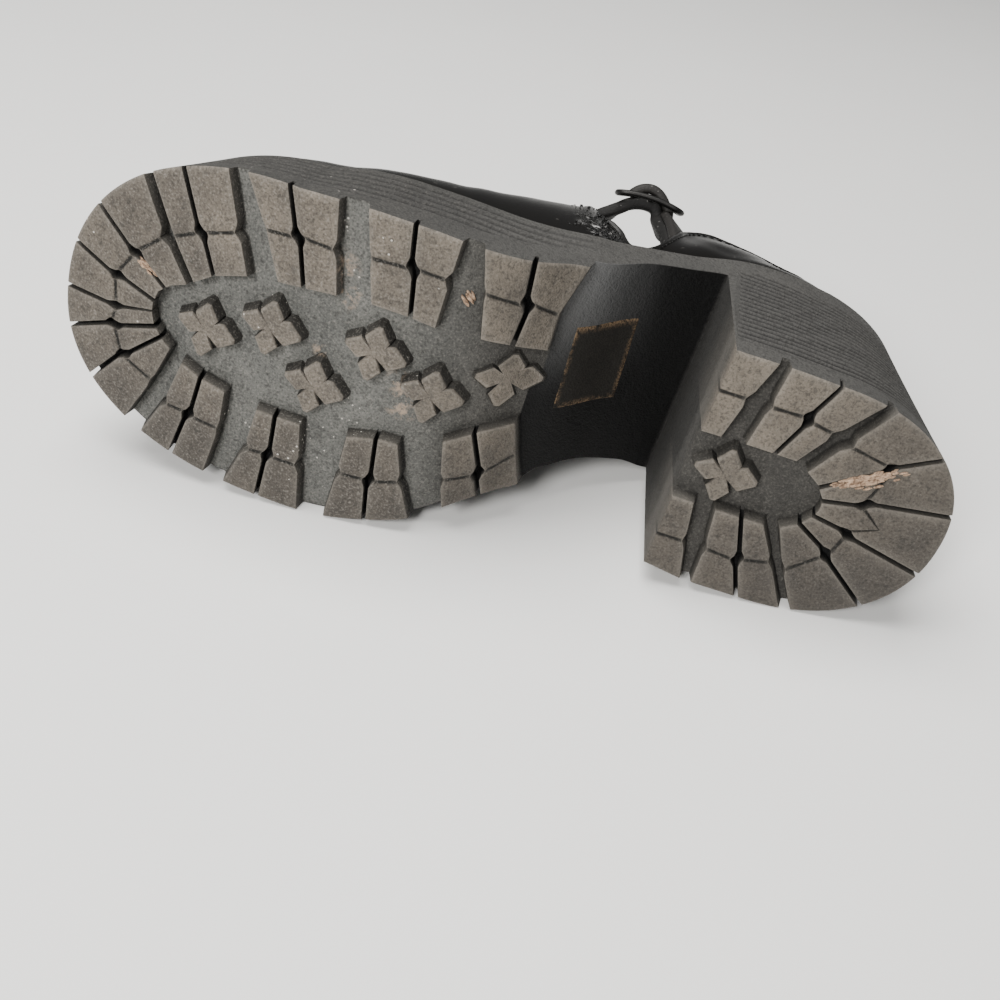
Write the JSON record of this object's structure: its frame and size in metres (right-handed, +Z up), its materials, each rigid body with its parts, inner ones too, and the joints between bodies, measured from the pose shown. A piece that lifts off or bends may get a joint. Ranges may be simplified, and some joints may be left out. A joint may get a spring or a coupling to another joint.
{
  "type": "platform mary jane shoe",
  "caption": "Left platform mary jane lying on its medial side: lugged block-heel sole, hollow open-topped upper, instep strap threaded through a slide buckle.",
  "frame": {"origin": "centre of the bounding box, at the floor the shoe lies on", "axes": "+X towards the heel, -X towards the toe, -Y is the way the tread faces, +Y towards the collar, +Z up, the lateral side"},
  "size_m": [0.2606, 0.1242, 0.1019],
  "materials": {
    "sole_rubber": "matte, dusty on the tread",
    "upper_leather": "smooth, polished, worn silver beside the throat",
    "insole_fabric": "matte",
    "strap_leather": "dull, scuffed edges",
    "buckle_metal": "dark, satin"
  },
  "bodies": {
    "root": {"sole_unit": "sole_rubber", "upper": "upper_leather", "insole": "insole_fabric", "instep_strap": "strap_leather", "buckle_tab": "strap_leather", "slide_buckle": "buckle_metal"}
  },
  "joints": []
}
